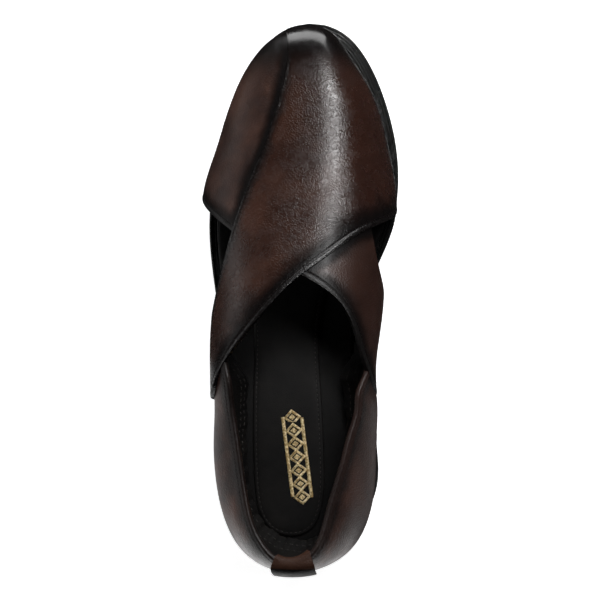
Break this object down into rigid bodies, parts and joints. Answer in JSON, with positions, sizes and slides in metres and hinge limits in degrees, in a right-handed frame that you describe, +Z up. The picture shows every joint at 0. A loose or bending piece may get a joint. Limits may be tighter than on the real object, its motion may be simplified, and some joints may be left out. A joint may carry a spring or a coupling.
{
  "type": "roman sandal",
  "caption": "Closed-toe leather sandal for the left foot: two broad straps cross over the instep, closed heel, side buckle and lugged sole with a low heel.",
  "frame": {"origin": "on the ground under the middle of the heel, on the flat face of the heel's middle lug", "axes": "+Y points along the shoe to the toe, +X to the inner (medial) side of the foot, +Z up"},
  "size_m": [0.1071, 0.2947, 0.0891],
  "materials": {
    "sole_rubber": "black moulded rubber, satin on the side and matt in the grooves",
    "heel_rubber": "black moulded rubber, satin",
    "welt_rubber": "black ribbed rubber welt with a stitch channel, satin",
    "sock": "black grained sock leather with a bound edge and a gold foil ornament at the heel",
    "upper_leather": "burnished dark brown leather, darkened to black towards its edges, with a fine grain and a soft shine",
    "tab_leather": "burnished dark brown leather, folded over the collar",
    "strap_leather": "burnished dark brown leather",
    "buckle_steel": "polished nickel-plated round wire",
    "prong_steel": "polished nickel-plated round wire"
  },
  "bodies": {
    "root": {"outsole": "sole_rubber", "heel": "heel_rubber", "welt": "welt_rubber", "insole": "sock", "upper": "upper_leather", "heel_tab": "tab_leather", "buckle_strap": "strap_leather", "buckle_frame": "buckle_steel", "buckle_prong": "prong_steel"}
  },
  "joints": []
}
